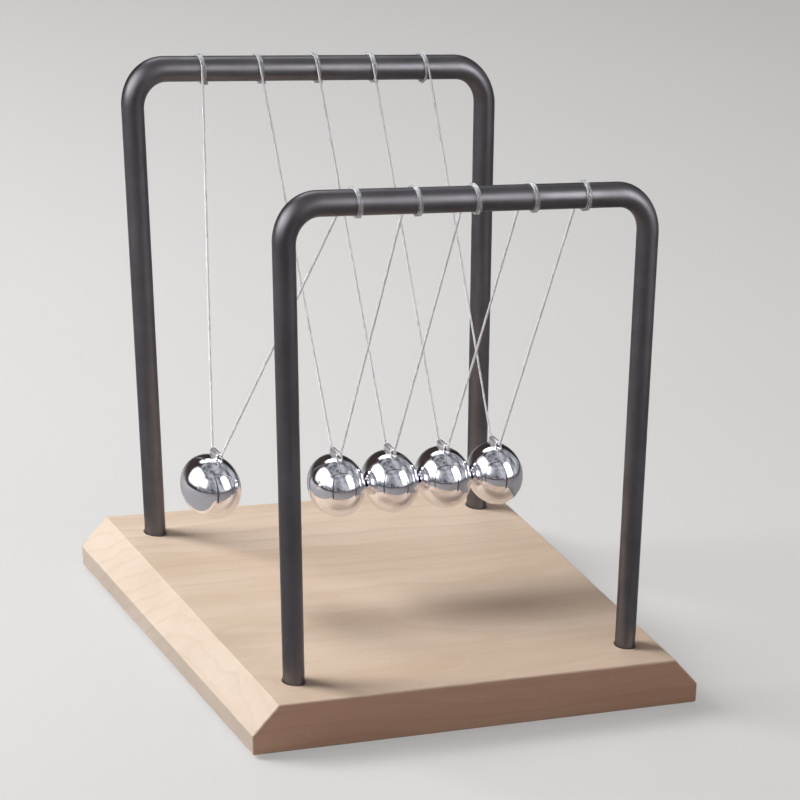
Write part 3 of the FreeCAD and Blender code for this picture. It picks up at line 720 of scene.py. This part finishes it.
# ------------------------------------------------------------------- stage
def backdrop():
    look = Look("paper")
    p = look.place()
    cloud = look.noise(p, 2.2, 3.0, 0.5)
    tooth = look.noise(p, 900.0, 2.0, 0.6)
    colour = look.ramp(cloud, [(0.3, (0.31, 0.308, 0.306)), (0.7, (0.34, 0.338, 0.336))])
    normal = look.bump(tooth, 0.08, 0.0001)
    rays = look.add("LightPath")
    colour = look.mix(rays.outputs["Is Diffuse Ray"], colour, (0.36, 0.25, 0.215))
    colour = look.mix(rays.outputs["Is Glossy Ray"], colour, (0.30, 0.295, 0.305))
    # an even glow, only for the eye, keeps the paper pale away from the lamps
    seen = look.math("MAXIMUM", rays.outputs["Is Camera Ray"], rays.outputs["Is Transmission Ray"])
    paper = look.finish(Base_Color=colour, Roughness=0.95, Normal=normal, Specular_IOR_Level=0.0,
                        Emission_Color=(0.93, 0.925, 0.915, 1.0),
                        Emission_Strength=look.math("MULTIPLY", seen, 0.37))
    if hasattr(paper, "cycles"):
        paper.cycles.emission_sampling = "NONE"
    verts, faces = [], []
    prof = [(-6.0, 0.0), (0.55, 0.0)]
    for k in range(1, 13):
        a = math.pi / 2 * k / 12
        prof.append((0.55 + 0.55 * math.sin(a), 0.55 - 0.55 * math.cos(a)))
    prof.append((1.1, 2.2))
    for y, z in prof:
        verts += [(-8.0, y, z), (8.0, y, z)]
    for k in range(len(prof) - 1):
        faces.append((2 * k, 2 * k + 1, 2 * k + 3, 2 * k + 2))
    ob = mesh_object("paper_sweep", verts, faces, paper, 60.0)
    ob.matrix_world = Matrix.Rotation(math.radians(-22), 4, "Z").inverted()


def feathered(data, strength=1.6):
    """Let a panel fade out towards its edges, with a soft cloudy middle."""
    data.use_nodes = True
    tree = data.node_tree
    tree.nodes.clear()

    def math_node(op, a, b):
        node = tree.nodes.new("ShaderNodeMath")
        node.operation = op
        for socket, value in zip(node.inputs, (a, b)):
            if isinstance(value, (int, float)):
                socket.default_value = value
            else:
                tree.links.new(value, socket)
        return node.outputs[0]

    at = tree.nodes.new("ShaderNodeNewGeometry").outputs["Parametric"]
    sep = tree.nodes.new("ShaderNodeSeparateXYZ")
    tree.links.new(at, sep.inputs[0])
    fade = None
    for axis in (0, 1):
        near = math_node("MINIMUM", sep.outputs[axis], math_node("SUBTRACT", 1.0, sep.outputs[axis]))
        rise = tree.nodes.new("ShaderNodeMapRange")
        rise.interpolation_type = "SMOOTHSTEP"
        rise.inputs["From Min"].default_value = 0.0
        rise.inputs["From Max"].default_value = 0.42
        tree.links.new(near, rise.inputs["Value"])
        fade = rise.outputs[0] if fade is None else math_node("MULTIPLY", fade, rise.outputs[0])
    cloud = tree.nodes.new("ShaderNodeTexNoise")
    cloud.inputs["Scale"].default_value = 5.0
    cloud.inputs["Detail"].default_value = 2.0
    tree.links.new(at, cloud.inputs["Vector"])
    mottle = math_node("MULTIPLY", math_node("SUBTRACT", cloud.outputs[0], 0.12), 1.9)
    glow = tree.nodes.new("ShaderNodeEmission")
    tree.links.new(math_node("MULTIPLY", math_node("MULTIPLY", fade, mottle), strength),
                   glow.inputs["Strength"])
    out = tree.nodes.new("ShaderNodeOutputLight")
    tree.links.new(glow.outputs[0], out.inputs[0])


def softbox(name, at, target, width, height, power, tint=(1, 1, 1)):
    data = bpy.data.lights.new(name, "AREA")
    data.shape = "RECTANGLE"
    data.size, data.size_y = width, height
    data.energy = power
    data.color = tint
    ob = bpy.data.objects.new(name, data)
    bpy.context.scene.collection.objects.link(ob)
    ob.location = at
    ob.rotation_mode = "QUATERNION"
    ob.rotation_quaternion = (Vector(target) - Vector(at)).to_track_quat("-Z", "Y")
    return ob


backdrop()
key = softbox("key", (-0.78, 0.39, 0.66), (0, 0, 0.06), 0.60, 0.60, 7.6)
key.visible_glossy = False
key.data.spread = math.radians(110)
side = softbox("side", (-0.58, 0.06, 0.42), (0, 0, 0.06), 0.90, 0.80, 10.5)
side.visible_diffuse = False
strip = softbox("strip", (0.38, -0.42, 0.32), (0, 0, 0.07), 0.42, 0.62, 6.4, (0.98, 0.98, 1.0))
strip.visible_diffuse = False
over = softbox("over", (0.05, 0.42, 0.62), (0, 0, 0.03), 0.60, 0.30, 2.8)
face = softbox("face", (-0.50, -0.34, 0.36), (0, 0, 0.07), 0.42, 0.50, 1.6, (0.98, 0.98, 1.0))
face.visible_diffuse = False
for panel in (side, strip, over, face):
    feathered(panel.data)
fill = softbox("fill", (0.25, -0.95, 0.25), (0, 0, 0.02), 0.9, 0.5, 1.9, (1.0, 0.72, 0.62))
fill.visible_glossy = False

world = bpy.data.worlds.new("room")
bpy.context.scene.world = world
world.use_nodes = True
tree = world.node_tree
tree.nodes.clear()
path_node = tree.nodes.new("ShaderNodeLightPath")
soft = tree.nodes.new("ShaderNodeBackground")
soft.inputs[0].default_value = (1.0, 0.93, 0.88, 1)
soft.inputs[1].default_value = 0.10
dark = tree.nodes.new("ShaderNodeBackground")
dark.inputs[0].default_value = (0.9, 0.92, 1.0, 1)
around = tree.nodes.new("ShaderNodeTexCoord")
cloud = tree.nodes.new("ShaderNodeTexNoise")
cloud.inputs["Scale"].default_value = 2.6
cloud.inputs["Detail"].default_value = 4.0
tree.links.new(around.outputs["Generated"], cloud.inputs["Vector"])
level = tree.nodes.new("ShaderNodeMapRange")
for key_, value in (("From Min", 0.36), ("From Max", 0.64), ("To Min", 0.10), ("To Max", 0.62)):
    level.inputs[key_].default_value = value
tree.links.new(cloud.outputs[0], level.inputs["Value"])
tree.links.new(level.outputs[0], dark.inputs[1])
either = tree.nodes.new("ShaderNodeMixShader")
out = tree.nodes.new("ShaderNodeOutputWorld")
tree.links.new(path_node.outputs["Is Glossy Ray"], either.inputs[0])
tree.links.new(soft.outputs[0], either.inputs[1])
tree.links.new(dark.outputs[0], either.inputs[2])
pale = tree.nodes.new("ShaderNodeBackground")
pale.inputs[0].default_value = (0.375, 0.373, 0.369, 1)
seen = tree.nodes.new("ShaderNodeMixShader")
tree.links.new(path_node.outputs["Is Camera Ray"], seen.inputs[0])
tree.links.new(either.outputs[0], seen.inputs[1])
tree.links.new(pale.outputs[0], seen.inputs[2])
tree.links.new(seen.outputs[0], out.inputs[0])

# ------------------------------------------------------------------ camera
ZOOM = 3.05
FOCAL, PX, PY = 1000.36, 600.40, 894.98
SEEN_X, SEEN_Y = 372.5, 387.0
AZ, EL, ROLL = math.radians(43.503), math.radians(45.149), math.radians(13.437)
data = bpy.data.cameras.new("camera")
data.sensor_width = 36.0
data.sensor_fit = "HORIZONTAL"
data.lens = FOCAL * ZOOM * 36.0 / 800
data.clip_start, data.clip_end = 0.01, 20
camera = bpy.data.objects.new("camera", data)
bpy.context.scene.collection.objects.link(camera)
look_dir = Vector((math.sin(AZ) * math.cos(EL), math.cos(AZ) * math.cos(EL), -math.sin(EL)))
camera.location = (-0.39266, -0.84654, 0.41433)
camera.rotation_mode = "QUATERNION"
level = look_dir.to_track_quat("-Z", "Y")
camera.rotation_quaternion = level @ Matrix.Rotation(ROLL, 3, "Z").to_quaternion()
bpy.context.scene.camera = camera


def only_here(prop, amount):
    """Lens shift that holds at the main camera's place and is 0 anywhere else."""
    curve = data.driver_add(prop)
    driver = curve.driver
    driver.type = "SCRIPTED"
    var = driver.variables.new()
    var.name = "x"
    var.type = "TRANSFORMS"
    var.targets[0].id = camera
    var.targets[0].transform_type = "LOC_X"
    var.targets[0].transform_space = "WORLD_SPACE"
    driver.expression = "%.6f if abs(x + 0.39266) < 0.0001 else 0.0" % amount


only_here("shift_x", -((PX - SEEN_X) * ZOOM) / 800)
only_here("shift_y", ((PY - SEEN_Y) * ZOOM) / 800)

scene = bpy.context.scene
scene.view_settings.view_transform = "Standard"
scene.view_settings.look = "None"
